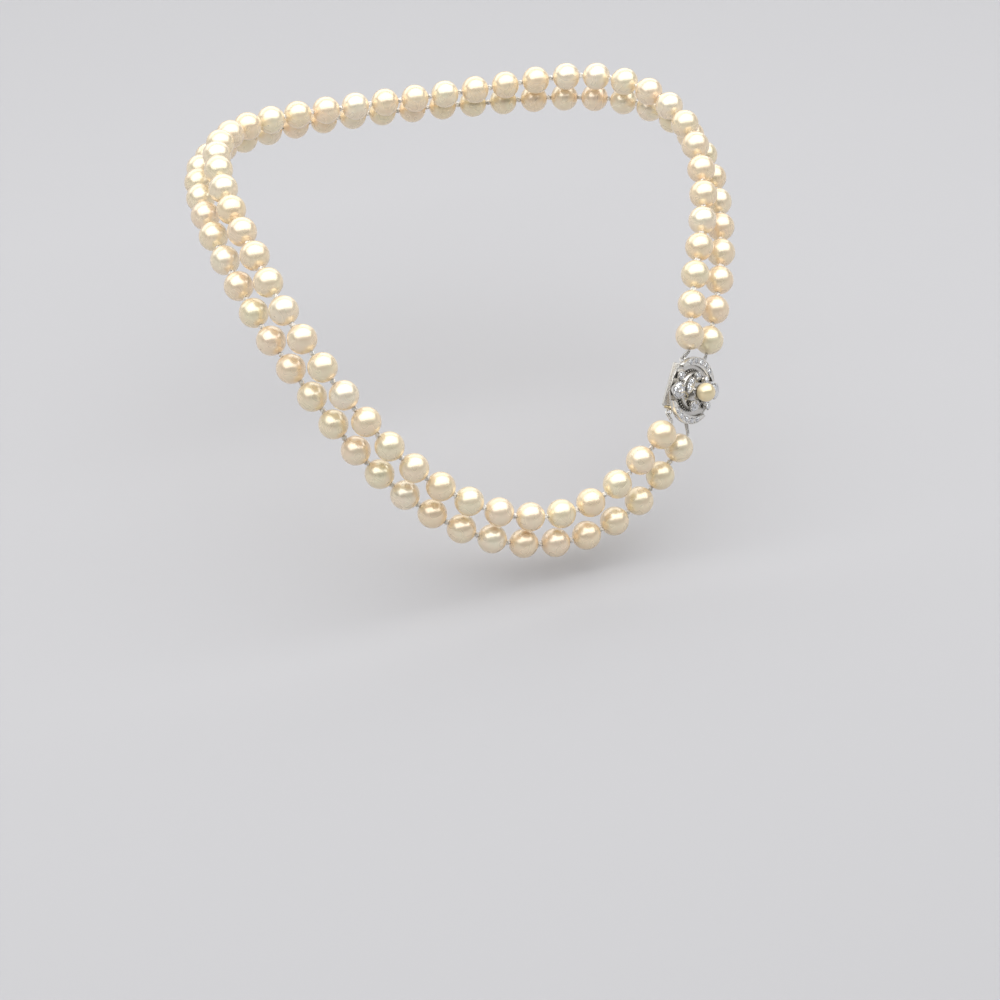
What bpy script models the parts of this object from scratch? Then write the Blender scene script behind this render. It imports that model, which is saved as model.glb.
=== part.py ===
"""Two-row necklace of knotted round pearls, closed by a jewelled box clasp.

Metres, +Z up, the wearer's front towards -Y. The origin is at the nape, in the middle of the
inner row, where the necklace hangs. Both rows start at the clasp's upper end, run up the right
side, round the nape, down the left side and across the front to the clasp's lower end.
"""
import math

import bmesh
import bpy
import numpy as np
from mathutils import Matrix, Vector

MM = 0.001

# ---- sizes, in millimetres ----
SEAT = 0.05             # joint between two pieces soldered, glued or set together
PITCH = 8.0             # one pearl and one knot: the necklace grows with it
KNOT_LENGTH = 1.0       # from one pearl to the next
PEARL_D = PITCH - KNOT_LENGTH
KNOT_D = 0.9
HOLE_INSET = 0.05       # from the full round of a pearl in to the flat at its drill hole
HOLE_AT = PEARL_D / 2 - HOLE_INSET
KNOT_GAP = 0.16         # between a knot and the next pearl, where a row bends

# ---- the clasp's place: middle, direction along the rows, direction across them ----
# The clasp's place and the rows' routes are counted in pitches, so they grow with the pearls.
CLASP_AT = (5.035, -12.0325, -4.7725)
CLASP_ALONG = (-0.434, -0.507, -0.745)
CLASP_ACROSS = (0.750, 0.254, -0.610)

# box
BOX_HALF_LENGTH = 5.4   # to its two flat ends
BOX_HALF_WIDTH = 4.5
BOX_CORNER_R = 0.35
BOX_WALL = 0.6
BOX_FLOOR_Z = -2.2      # back plate's outer face
BACK_THICK = 0.40
BOX_TOP_Z = 1.4
BOX_TOP_THICK = 0.5
SLOT_HALF_WIDTH = 3.3
SLOT_Z = (-1.50, 0.25)

# tongue and its spring catch
END_THICK = 0.45
END_HALF_WIDTH = PEARL_D / 2 + 1.1
END_Z = (-1.75, 1.3)
NOTCH_HALF_WIDTH = 1.1
LEAF_HALF_WIDTH = 2.6
LEAF_Z = (-1.40, -1.05)
LEAF_TIP = -2.4
CATCH_THICK = 0.35
CATCH_TOP_Z = 0.75      # its free end, above the slot's upper edge
CATCH_RUN = 0.12        # clearance behind the box's end wall
TAB_HALF_WIDTH = 0.8
TAB_Z = (-0.30, 0.05)
TAB_TIP = 7.2

# rings, wire loops and where each row starts from the clasp's middle
ROW_HALF_SPACING = PEARL_D / 2 + 0.4
RING_R = 0.70
RING_WIRE = 0.20
GIMP_R = 0.26
INNER_LOOP_RUN = 1.4    # from the ring's far side to the first pearl's drill hole
OUTER_LOOP_RUN = 2.6
RING_REACH = BOX_HALF_LENGTH + END_THICK + 2 * SEAT + 2 * RING_R + RING_WIRE
INNER_START = RING_REACH + INNER_LOOP_RUN + HOLE_AT
OUTER_START = RING_REACH + OUTER_LOOP_RUN + HOLE_AT

# plates and settings of the cluster
PLATE_R = 8.15
PLATE_Z = (1.45, 1.85)
TIER_R = 4.9
TIER_TOP_Z = 3.0
COLLET_INSET = 1.55     # large collet's middle, from the plate's edge
ROUND_INSET = 1.55      # small round collet's middle, from the plate's edge
TIER_INSET = 1.35       # upper collets' middles, from the tier's edge
SMALL_STONE_R = 0.62
CRESCENT_WIDTH = 2 * SMALL_STONE_R + 0.85
CRESCENT_INSET = 0.05   # from the plate's edge
CRESCENT_HALF_ANGLE = 57.0
CRESCENT_Z = (PLATE_Z[1] + SEAT, PLATE_Z[1] + SEAT + 0.90)
COLLET_WALL = 0.28
CENTRE_PEARL_R = 2.3
CENTRE_PEARL_Z = 6.3

# route of each row between its two ends at the clasp, in pitches
INNER_ROUTE = [
    (5.9375, -10.1875, -2.25), (6.8125, -8.5625, -1.25), (7.4375, -6.9375, -0.4375),
    (7.6875, -5.0625, 0.25), (7.25, -3.0625, 0.625), (6.0, -1.375, 0.625), (3.5, -0.375, 0.25),
    (0.0, 0.0, 0.0), (-3.25, -0.1875, 0.0625), (-5.5625, -1.125, 0.3125),
    (-6.625, -2.4375, 0.5625), (-7.1875, -4.375, 0.6875), (-7.3125, -6.3125, 0.375),
    (-7.125, -8.25, -0.1875), (-6.75, -10.0, -1.125), (-6.0, -11.4375, -2.375),
    (-5.0, -12.4375, -3.8125), (-3.75, -13.0625, -5.25), (-2.1875, -13.5, -6.4375),
    (-0.25, -13.75, -7.1875), (1.875, -13.5, -7.0625),
]
OUTER_ROUTE = [
    (7.0, -9.6875, -2.5625), (7.6875, -8.0, -1.6875), (8.125, -6.1875, -0.9375),
    (8.125, -4.3125, -0.375), (7.5, -2.5, -0.1875), (6.0, -0.9375, -0.3125),
    (3.375, 0.125, -0.5625), (0.0, 0.6875, -0.6875), (-3.375, 0.5, -0.625),
    (-5.625, -0.375, -0.5), (-7.125, -2.0625, -0.25), (-7.75, -4.25, -0.1875),
    (-7.875, -6.3125, -0.4375), (-7.625, -8.125, -1.125), (-7.125, -9.875, -2.125),
    (-6.3125, -11.1875, -3.375), (-5.3125, -12.1875, -4.8125), (-4.0625, -12.8125, -6.1875),
    (-2.4375, -13.4375, -7.375), (-0.625, -13.75, -8.0625), (1.375, -13.75, -8.1875),
    (3.3125, -13.25, -7.5625),
]

for old in list(bpy.data.objects):
    bpy.data.objects.remove(old, do_unlink=True)

necklace = bpy.data.collections.new("pearl_necklace")
cutters = bpy.data.collections.new("cutters")
bpy.context.scene.collection.children.link(necklace)
bpy.context.scene.collection.children.link(cutters)

# The clasp's own axes: +X along the rows towards the tongue, +Y to the outer row, +Z outwards.
along = Vector(CLASP_ALONG).normalized()
across = Vector(CLASP_ACROSS)
across = (across - along * across.dot(along)).normalized()
outwards = along.cross(across)
CLASP = Matrix((along, across, outwards)).transposed().to_4x4()
CLASP.translation = Vector(CLASP_AT) * PITCH * MM


# ---- materials ----

def material(name, colour, metallic, roughness, alpha=1.0):
    made = bpy.data.materials.new(name)
    made.use_nodes = True
    shader = made.node_tree.nodes["Principled BSDF"]
    shader.inputs["Base Color"].default_value = (*colour, 1.0)
    shader.inputs["Metallic"].default_value = metallic
    shader.inputs["Roughness"].default_value = roughness
    shader.inputs["Alpha"].default_value = alpha
    return made


NACRE = material("cream_nacre", (0.86, 0.78, 0.64), 0.0, 0.18)
WHITE_GOLD = material("white_gold", (0.80, 0.78, 0.74), 1.0, 0.22)
PALE_GOLD = material("pale_gold", (0.78, 0.68, 0.48), 1.0, 0.25)
SILVER_WIRE = material("silver_wire", (0.82, 0.82, 0.82), 1.0, 0.30)
CRYSTAL = material("clear_stone", (0.92, 0.94, 0.97), 0.0, 0.02, 0.45)


# ---- building blocks ----

def add_object(name, mesh, look, place=None):
    made = bpy.data.objects.new(name, mesh)
    necklace.objects.link(made)
    own = look.copy()
    own.name = name
    made.data.materials.clear()
    made.data.materials.append(own)
    if place is not None:
        made.matrix_world = place
    return made


def mesh_of_curve(curve):
    """The curve's surface as a mesh with its caps joined on."""
    holder = bpy.data.objects.new("holder", curve)
    mesh = bpy.data.meshes.new_from_object(holder)
    bpy.data.objects.remove(holder)
    surface = bmesh.new()
    surface.from_mesh(mesh)
    bmesh.ops.remove_doubles(surface, verts=surface.verts, dist=1e-7)
    bmesh.ops.recalc_face_normals(surface, faces=surface.faces)
    surface.to_mesh(mesh)
    surface.free()
    return mesh


def tube_mesh(points, radii, sides, closed=False):
    """A round tube through points in metres, with its own radius in mm at each point."""
    curve = bpy.data.curves.new("tube", "CURVE")
    curve.dimensions = "3D"
    curve.bevel_depth = MM
    curve.bevel_resolution = (sides - 4) // 2
    curve.use_fill_caps = not closed
    line = curve.splines.new("POLY")
    line.points.add(len(points) - 1)
    for knot, at, radius in zip(line.points, points, radii):
        knot.co = (*at, 1.0)
        knot.radius = radius
    line.use_cyclic_u = closed
    return mesh_of_curve(curve)


def prism_mesh(outline, low, high):
    """A flat outline in mm, filled and raised from low to high."""
    curve = bpy.data.curves.new("outline", "CURVE")
    curve.dimensions = "2D"
    curve.fill_mode = "BOTH"
    curve.extrude = (high - low) / 2 * MM
    line = curve.splines.new("POLY")
    line.points.add(len(outline) - 1)
    for corner, (x, y) in zip(line.points, outline):
        corner.co = (x * MM, y * MM, 0.0, 1.0)
    line.use_cyclic_u = True
    mesh = mesh_of_curve(curve)
    mesh.transform(Matrix.Translation((0.0, 0.0, (low + high) / 2 * MM)))
    return mesh


def block_mesh(x_range, y_range, z_range):
    low = Vector((x_range[0], y_range[0], z_range[0])) * MM
    high = Vector((x_range[1], y_range[1], z_range[1])) * MM
    solid = bmesh.new()
    bmesh.ops.create_cube(solid, size=1.0)
    bmesh.ops.scale(solid, vec=high - low, verts=solid.verts)
    bmesh.ops.translate(solid, vec=(low + high) / 2, verts=solid.verts)
    mesh = bpy.data.meshes.new("block")
    solid.to_mesh(mesh)
    solid.free()
    return mesh


def turned_object(name, profile, sides, look, place, squash=1.0):
    """A solid turned about its own Z. The profile of (radius, height) in mm runs down its outside.

    A profile that starts off the axis is closed into a ring.
    """
    mesh = bpy.data.meshes.new(name)
    rows = [(r * MM, 0.0, z * MM) for r, z in profile]
    edges = [(i, i + 1) for i in range(len(rows) - 1)]
    if profile[0][0] > 0:
        edges.append((len(rows) - 1, 0))
    mesh.from_pydata(rows, edges, [])
    made = add_object(name, mesh, look, place @ Matrix.Diagonal((1.0, squash, 1.0, 1.0)))
    turn = made.modifiers.new("turn", "SCREW")
    turn.steps = sides
    turn.render_steps = sides
    turn.use_merge_vertices = True
    turn.merge_threshold = 1e-6
    turn.use_smooth_shade = False
    return made


def cut(target, operation, mesh, name):
    """Takes a cutter from the target, or joins it on, with an exact Boolean."""
    cutter = bpy.data.objects.new(name, mesh)
    cutters.objects.link(cutter)
    cutter.matrix_world = target.matrix_world
    cutter.hide_render = True
    cutter.display_type = "WIRE"
    change = target.modifiers.new(name, "BOOLEAN")
    change.object = cutter
    change.operation = operation
    change.solver = "EXACT"


def clasp_point(x, y, z):
    return CLASP @ (Vector((x, y, z)) * MM)


# ---- the two rows ----

def smooth_route(points, samples=1600):
    """A natural cubic spline through the points, with its length measured along it."""
    knots = np.array(points)
    steps = np.linalg.norm(np.diff(knots, axis=0), axis=1)
    count = len(knots)
    system = np.eye(count)
    right = np.zeros((count, 3))
    for i in range(1, count - 1):
        system[i, i - 1] = steps[i - 1]
        system[i, i] = 2 * (steps[i - 1] + steps[i])
        system[i, i + 1] = steps[i]
        after = (knots[i + 1] - knots[i]) / steps[i]
        before = (knots[i] - knots[i - 1]) / steps[i - 1]
        right[i] = 6 * (after - before)
    bend = np.linalg.solve(system, right)
    starts = np.concatenate([[0.0], np.cumsum(steps)])
    line = []
    for value in np.linspace(0.0, starts[-1], samples):
        i = min(int(np.searchsorted(starts, value, side="right")) - 1, count - 2)
        done = value - starts[i]
        left = starts[i + 1] - value
        line.append(
            (bend[i] * left**3 + bend[i + 1] * done**3) / (6 * steps[i])
            + (knots[i] / steps[i] - bend[i] * steps[i] / 6) * left
            + (knots[i + 1] / steps[i] - bend[i + 1] * steps[i] / 6) * done
        )
    line = np.array(line)
    run = np.concatenate([[0.0], np.cumsum(np.linalg.norm(np.diff(line, axis=0), axis=1))])
    return line, run


def pearl_places(route):
    """Centres of the pearls, evenly spaced along the route, and the way each one is threaded."""
    line, run = smooth_route(route)
    count = int(round(run[-1] / PITCH)) + 1
    stations = np.linspace(0.0, run[-1], count)
    centres = np.stack([np.interp(stations, run, line[:, k]) for k in range(3)], axis=1)
    ways = np.gradient(centres, axis=0)
    ways /= np.linalg.norm(ways, axis=1)[:, None]
    return centres, ways


def row_piece(name, centres, ways, first, last):
    """The pearls first to last on their silk, with the knot that follows each pearl."""
    section = []
    for degrees in (180, 141, 108, 72, 39, 0):
        turn = math.radians(degrees)
        reach = min(HOLE_AT, max(-HOLE_AT, math.cos(turn) * PEARL_D / 2))
        section.append((reach, max(KNOT_D / 2, math.sin(turn) * PEARL_D / 2)))
    points = []
    radii = []
    for i in range(first, last + 1):
        for step, radius in section:
            points.append(centres[i] + ways[i] * step)
            radii.append(radius)
    if last + 1 < len(centres):
        following = centres[last + 1] - ways[last + 1] * HOLE_AT
        back = points[-1] - following
        points.append(following + back / np.linalg.norm(back) * KNOT_GAP)
        radii.append(KNOT_D / 2)
    mesh = tube_mesh([p * MM for p in points], radii, 8)
    made = add_object(name, mesh, NACRE)
    for face in mesh.polygons:
        face.use_smooth = True
    return made


def clasp_mm(x, y, z):
    return tuple(clasp_point(x, y, z) / MM)


inner_ends = (
    clasp_mm(-INNER_START, -ROW_HALF_SPACING, 0.3),
    clasp_mm(INNER_START, -ROW_HALF_SPACING, -0.3),
)
outer_ends = (
    clasp_mm(-OUTER_START, ROW_HALF_SPACING, 0.3),
    clasp_mm(OUTER_START, ROW_HALF_SPACING, -0.3),
)
inner_way = [np.array(point) * PITCH for point in INNER_ROUTE]
outer_way = [np.array(point) * PITCH for point in OUTER_ROUTE]
inner = pearl_places([inner_ends[0], *inner_way, inner_ends[1]])
outer = pearl_places([outer_ends[0], *outer_way, outer_ends[1]])

# The last two pearls of each row belong to the tongue. The stretch before them swings with it.
TONGUE_PEARLS = 2
STRETCHES = ["right_side", "right_back", "left_back", "left_side"]
PEARLS_EACH = 9
FRONT_FROM = PEARLS_EACH * len(STRETCHES)
pieces = {}
for row_name, (centres, ways) in (("inner", inner), ("outer", outer)):
    count = len(centres)
    for k, stretch in enumerate(STRETCHES):
        name = f"{row_name}_row_{stretch}"
        pieces[name] = row_piece(name, centres, ways, k * PEARLS_EACH, (k + 1) * PEARLS_EACH - 1)
    name = f"{row_name}_row_front"
    pieces[name] = row_piece(name, centres, ways, FRONT_FROM, count - TONGUE_PEARLS - 1)
    name = f"{row_name}_row_tongue_end"
    pieces[name] = row_piece(name, centres, ways, count - TONGUE_PEARLS, count - 1)

    # where the front stretch pivots, and where it parts from the tongue's pearls
    pivot = centres[FRONT_FROM] - ways[FRONT_FROM] * (HOLE_AT + KNOT_GAP / 2)
    parting = centres[-TONGUE_PEARLS] - ways[-TONGUE_PEARLS] * (HOLE_AT + KNOT_GAP / 2)
    reach = Vector(parting - pivot)
    axis = reach.cross(along).normalized()
    moved = axis.cross(reach).dot(along) * MM
    print(row_name, "pearls", count, "pivot mm", np.round(pivot, 3).tolist(),
          "axis", [round(v, 5) for v in axis], "ratio rad per m", round(1 / moved, 4),
          "off square mm", round(reach.dot(along), 2))
    # a moving piece's origin is on its joint axis
    front = pieces[f"{row_name}_row_front"]
    front.data.transform(Matrix.Translation(-Vector(pivot) * MM))
    front.matrix_world = Matrix.Translation(Vector(pivot) * MM)


# ---- rings and wire loops ----

def ring_centre_x(end):
    """end is -1 for the box's own rings and 1 for the tongue's."""
    face = BOX_HALF_LENGTH if end < 0 else BOX_HALF_LENGTH + SEAT + END_THICK
    return end * (face + SEAT + RING_R + RING_WIRE)


def ring(name, end, side):
    centre = (ring_centre_x(end), side * ROW_HALF_SPACING, 0.0)
    points = []
    for i in range(14):
        turn = 2 * math.pi * i / 14
        x = centre[0] + RING_R * math.cos(turn)
        z = centre[2] + RING_R * math.sin(turn)
        points.append(Vector((x, centre[1], z)) * MM)
    mesh = tube_mesh(points, [RING_WIRE] * 14, 6, closed=True)
    add_object(name, mesh, WHITE_GOLD, CLASP)


def wire_loop(name, end, side, centre, way):
    """A U of coiled wire round the ring's outer side, its two ends at the pearl's drill hole."""
    apart = RING_WIRE + GIMP_R + 0.05
    hold = Vector((ring_centre_x(end) + end * RING_R, side * ROW_HALF_SPACING, 0.0))
    into = CLASP.inverted()
    hole = into @ (Vector(centre + way * end * (HOLE_AT + 0.15)) * MM) / MM
    before = into @ (Vector(centre + way * end * (HOLE_AT + 0.55)) * MM) / MM
    beside = Vector((0.0, GIMP_R + 0.02, 0.0))
    points = []
    for i in range(7):
        turn = math.pi * i / 6
        step = Vector((-end * apart * math.sin(turn), apart * math.cos(turn), 0.0))
        points.append(hold + step)
    points = [hole + beside, before + beside, *points, before - beside, hole - beside]
    mesh = tube_mesh([p * MM for p in points], [GIMP_R] * len(points), 6)
    add_object(name, mesh, SILVER_WIRE, CLASP)


for row_name, side, (centres, ways) in (("inner", -1, inner), ("outer", 1, outer)):
    ring(f"box_ring_{row_name}", -1, side)
    ring(f"tongue_ring_{row_name}", 1, side)
    wire_loop(f"box_wire_loop_{row_name}", -1, side, centres[0], ways[0])
    wire_loop(f"tongue_wire_loop_{row_name}", 1, side, centres[-1], ways[-1])


# ---- box ----

def box_outline(inset):
    """A rectangle with rounded corners, moved in by inset."""
    half_x, half_y = BOX_HALF_LENGTH - inset, BOX_HALF_WIDTH - inset
    corner = max(BOX_CORNER_R - inset, 0.1)
    outline = []
    for quarter, (way_x, way_y) in enumerate([(1, 1), (-1, 1), (-1, -1), (1, -1)]):
        for i in range(6):
            turn = math.pi / 2 * (quarter + i / 5)
            outline.append((
                way_x * (half_x - corner) + corner * math.cos(turn),
                way_y * (half_y - corner) + corner * math.sin(turn),
            ))
    return outline


wall_low = BOX_FLOOR_Z + BACK_THICK + SEAT
box = add_object("clasp_box", prism_mesh(box_outline(0.0), wall_low, BOX_TOP_Z), WHITE_GOLD, CLASP)
room = prism_mesh(box_outline(BOX_WALL), wall_low - 1.0, BOX_TOP_Z - BOX_TOP_THICK)
cut(box, "DIFFERENCE", room, "box_room")
slot = block_mesh(
    (BOX_HALF_LENGTH - 2 * BOX_WALL, BOX_HALF_LENGTH + 1.0),
    (-SLOT_HALF_WIDTH, SLOT_HALF_WIDTH),
    SLOT_Z,
)
cut(box, "DIFFERENCE", slot, "box_slot")
back_mesh = prism_mesh(box_outline(0.0), BOX_FLOOR_Z, BOX_FLOOR_Z + BACK_THICK)
add_object("clasp_back_plate", back_mesh, WHITE_GOLD, CLASP)


# ---- tongue and catch ----

end_x = (BOX_HALF_LENGTH + SEAT, BOX_HALF_LENGTH + SEAT + END_THICK)
end_plate = block_mesh(end_x, (-END_HALF_WIDTH, END_HALF_WIDTH), END_Z)
tongue = add_object("tongue_plate", end_plate, PALE_GOLD, CLASP)
leaf = block_mesh((LEAF_TIP, end_x[0] + END_THICK / 2), (-LEAF_HALF_WIDTH, LEAF_HALF_WIDTH), LEAF_Z)
cut(tongue, "UNION", leaf, "tongue_leaf")
notch = block_mesh(
    (end_x[0] - 0.2, end_x[1] + 1.0),
    (-NOTCH_HALF_WIDTH, NOTCH_HALF_WIDTH),
    (LEAF_Z[1], END_Z[1] + 1.0),
)
cut(tongue, "DIFFERENCE", notch, "tongue_notch")

# The catch rises from the fold at the tongue's tip to behind the box's end wall.
fold = (LEAF_TIP, LEAF_Z[1] + 0.17 + CATCH_THICK / 2)
catch_end = BOX_HALF_LENGTH - BOX_WALL - CATCH_RUN
low_side = [(fold[0], fold[1] - CATCH_THICK / 2), (catch_end, CATCH_TOP_Z - CATCH_THICK)]
high_side = [(catch_end, CATCH_TOP_Z), (fold[0], fold[1] + CATCH_THICK / 2)]
side_view = [(x, z) for x, z in low_side + high_side]
catch_mesh = prism_mesh(side_view, -LEAF_HALF_WIDTH + 0.2, LEAF_HALF_WIDTH - 0.2)
catch_mesh.transform(Matrix.Rotation(math.pi / 2, 4, "X"))
hinge_at = Vector((fold[0], 0.0, fold[1])) * MM
catch_mesh.transform(Matrix.Translation(-hinge_at))
catch = add_object("catch_leaf", catch_mesh, PALE_GOLD, CLASP @ Matrix.Translation(hinge_at))
tab = block_mesh(
    (catch_end - 0.6, TAB_TIP), (-TAB_HALF_WIDTH, TAB_HALF_WIDTH), (TAB_Z[0], TAB_Z[1])
)
tab.transform(Matrix.Translation(-hinge_at))
cut(catch, "UNION", tab, "catch_tab")
riser = block_mesh(
    (catch_end - 0.4, catch_end),
    (-TAB_HALF_WIDTH, TAB_HALF_WIDTH),
    (TAB_Z[0] + 0.05, CATCH_TOP_Z - 0.1),
)
riser.transform(Matrix.Translation(-hinge_at))
cut(catch, "UNION", riser, "catch_riser")
hinge_world = CLASP @ hinge_at
print("catch hinge m", [round(v, 6) for v in hinge_world], "axis", [round(v, 5) for v in across])
print("slide axis", [round(v, 5) for v in along], "outwards", [round(v, 5) for v in outwards])
print("back face m", [round(v, 6) for v in clasp_point(0, 0, BOX_FLOOR_Z)])


# ---- cluster: plates, crescents, collets and stones ----

turned_object(
    "cluster_plate",
    [(0.0, PLATE_Z[1]), (PLATE_R - 0.15, PLATE_Z[1]), (PLATE_R, PLATE_Z[0]), (0.0, PLATE_Z[0])],
    24, WHITE_GOLD, CLASP,
)
tier_low = PLATE_Z[1] + SEAT
turned_object(
    "cluster_tier",
    [(0.0, TIER_TOP_Z), (TIER_R - 0.5, TIER_TOP_Z), (TIER_R, tier_low), (0.0, tier_low)],
    20, WHITE_GOLD, CLASP,
)


def stone(name, radius, girdle_z, place, squash=1.0, sides=8):
    """A brilliant with its girdle at girdle_z in the place's own frame."""
    profile = [
        (0.0, girdle_z + 0.30 * radius),
        (0.58 * radius, girdle_z + 0.30 * radius),
        (radius, girdle_z),
        (0.0, girdle_z - 0.80 * radius),
    ]
    turned_object(name, profile, sides, CRYSTAL, place, squash)


def collet(name, radius, height, place, squash=1.0):
    """A tapered ring that holds a stone by its girdle. radius is the stone's."""
    outer_top = radius + COLLET_WALL
    foot = 0.72 * outer_top
    profile = [
        (radius + 0.04, height), (outer_top, height),
        (foot, 0.0), (foot - COLLET_WALL, 0.0),
    ]
    turned_object(name, profile, 12, WHITE_GOLD, place, squash)
    stone(name + "_stone", radius, height + 0.02, place, squash)


def setting_place(degrees, distance, floor_z, tilt, foot):
    """A frame on the cluster, turned to face outwards and tipped by tilt degrees."""
    lift = SEAT + foot * math.sin(math.radians(tilt))
    turn = Matrix.Rotation(math.radians(degrees), 4, "Z")
    move = Matrix.Translation(Vector((distance, 0.0, floor_z + lift)) * MM)
    return CLASP @ turn @ move @ Matrix.Rotation(math.radians(tilt), 4, "Y")


# name, angle from the tongue towards the outer row, distance out, floor, stone radius,
# height, tilt outwards, squash
SETTINGS = [
    ("large_collet_inner", -76.0, PLATE_R - COLLET_INSET, PLATE_Z[1], 1.80, 1.45, 8.0, 1.0),
    ("large_collet_outer", 106.0, PLATE_R - COLLET_INSET, PLATE_Z[1], 1.80, 1.75, 8.0, 1.0),
    ("round_collet_inner", -106.5, PLATE_R - ROUND_INSET, PLATE_Z[1], 0.85, 1.15, 8.0, 1.0),
    ("round_collet_outer", 73.5, PLATE_R - ROUND_INSET, PLATE_Z[1], 0.85, 1.15, 8.0, 1.0),
    ("tongue_side_collet", -5.0, TIER_R - TIER_INSET, TIER_TOP_Z, 1.20, 1.15, 14.0, 1.0),
    ("marquise_collet_inner", -97.0, TIER_R - TIER_INSET, TIER_TOP_Z, 0.85, 1.10, 14.0, 1.9),
    ("marquise_collet_outer", 83.0, TIER_R - TIER_INSET, TIER_TOP_Z, 0.85, 1.10, 14.0, 1.9),
    ("box_side_collet_inner", -152.0, TIER_R - TIER_INSET, TIER_TOP_Z, 0.80, 1.05, 14.0, 1.0),
    ("box_side_collet_outer", 152.0, TIER_R - TIER_INSET, TIER_TOP_Z, 0.80, 1.05, 14.0, 1.0),
]
for name, degrees, distance, floor_z, radius, height, tilt, squash in SETTINGS:
    foot = 0.72 * (radius + COLLET_WALL)
    collet(name, radius, height, setting_place(degrees, distance, floor_z, tilt, foot), squash)


def crescent(name, middle):
    """A crescent round one end of the plate, with a row of stones in drilled seats."""
    outer_r = PLATE_R - CRESCENT_INSET
    inner_r = outer_r - CRESCENT_WIDTH
    horn = SMALL_STONE_R + 0.05
    steps = 12
    outline = []
    for i in range(steps + 1):
        turn = math.radians(middle - CRESCENT_HALF_ANGLE + 2 * CRESCENT_HALF_ANGLE * i / steps)
        outline.append((outer_r * math.cos(turn), outer_r * math.sin(turn)))
    for i in range(steps + 1):
        part = 1 - 2 * i / steps
        turn = math.radians(middle + CRESCENT_HALF_ANGLE * part)
        hollow = outer_r - horn - (CRESCENT_WIDTH - horn) * (1 - part * part)
        outline.append((hollow * math.cos(turn), hollow * math.sin(turn)))
    low, high = CRESCENT_Z
    made = add_object(name, prism_mesh(outline, low, high), WHITE_GOLD, CLASP)
    seats = bmesh.new()
    for i in range(-2, 3):
        turn = math.radians(middle + i * 17.0)
        out = (inner_r + outer_r) / 2 + 0.10 * abs(i)
        at = Vector((out * math.cos(turn), out * math.sin(turn), high)) * MM
        seat_r = SMALL_STONE_R + 0.05
        bmesh.ops.create_cone(
            seats, cap_ends=True, segments=8, radius1=seat_r * MM, radius2=seat_r * MM,
            depth=1.0 * MM, matrix=Matrix.Translation(at),
        )
        place = CLASP @ Matrix.Translation(at)
        stone(f"{name}_stone_{i + 3}", SMALL_STONE_R, 0.0, place, sides=8)
    mesh = bpy.data.meshes.new("seats")
    seats.to_mesh(mesh)
    seats.free()
    cut(made, "DIFFERENCE", mesh, name + "_seats")


crescent("crescent_box_side", 180.0)
crescent("crescent_tongue_side", 0.0)

# ---- centre pearl in its cup ----

cup_low = TIER_TOP_Z + SEAT
hold_r = CENTRE_PEARL_R + SEAT


def under_pearl(r):
    return CENTRE_PEARL_Z - math.sqrt(hold_r**2 - r**2)


turned_object(
    "centre_pearl_cup",
    [
        (0.0, under_pearl(0.0)), (0.7, under_pearl(0.7)), (1.25, under_pearl(1.25)),
        (1.60, under_pearl(1.60)), (1.78, under_pearl(1.60)), (0.75, cup_low + 0.35),
        (0.95, cup_low), (0.0, cup_low),
    ],
    16, WHITE_GOLD, CLASP,
)
pearl_profile = [
    (CENTRE_PEARL_R * math.sin(math.pi * i / 8), CENTRE_PEARL_R * math.cos(math.pi * i / 8))
    for i in range(9)
]
pearl_profile[0] = (0.0, CENTRE_PEARL_R)
pearl_profile[-1] = (0.0, -CENTRE_PEARL_R)
centre_place = CLASP @ Matrix.Translation((0.0, 0.0, CENTRE_PEARL_Z * MM))
centre = turned_object("centre_pearl", pearl_profile, 16, NACRE, centre_place)
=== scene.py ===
"""Two-row pearl necklace with a jewelled box clasp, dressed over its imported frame.

Metres, +Z up, the wearer's front towards -Y. The sections follow the necklace as it is put
together: the clasp, its cluster, the rings, the two rows of pearls, their silk and the wire
loops, then floor, light and camera.
"""
import math
from random import Random

import bpy
import numpy as np
from mathutils import Matrix, Vector


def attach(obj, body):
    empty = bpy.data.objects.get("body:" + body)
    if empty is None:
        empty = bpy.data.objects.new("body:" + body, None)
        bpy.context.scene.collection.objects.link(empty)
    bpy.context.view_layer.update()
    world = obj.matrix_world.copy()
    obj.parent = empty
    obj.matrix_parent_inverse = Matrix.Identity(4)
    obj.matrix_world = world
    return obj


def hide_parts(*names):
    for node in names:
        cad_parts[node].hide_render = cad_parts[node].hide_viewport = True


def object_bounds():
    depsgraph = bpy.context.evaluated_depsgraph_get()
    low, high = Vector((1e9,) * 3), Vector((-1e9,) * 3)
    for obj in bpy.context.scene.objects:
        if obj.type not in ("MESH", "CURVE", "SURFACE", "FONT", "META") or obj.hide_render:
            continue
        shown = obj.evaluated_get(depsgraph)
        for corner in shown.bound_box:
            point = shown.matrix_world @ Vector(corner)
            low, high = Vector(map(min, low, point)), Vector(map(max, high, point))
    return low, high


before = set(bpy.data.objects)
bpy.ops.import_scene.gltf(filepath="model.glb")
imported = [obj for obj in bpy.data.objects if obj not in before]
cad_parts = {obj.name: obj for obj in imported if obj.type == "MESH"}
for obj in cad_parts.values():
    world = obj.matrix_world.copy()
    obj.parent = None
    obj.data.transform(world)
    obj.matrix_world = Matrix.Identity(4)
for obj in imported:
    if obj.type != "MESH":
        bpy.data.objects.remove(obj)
cad_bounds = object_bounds()
bpy.ops.object.select_all(action="DESELECT")

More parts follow.
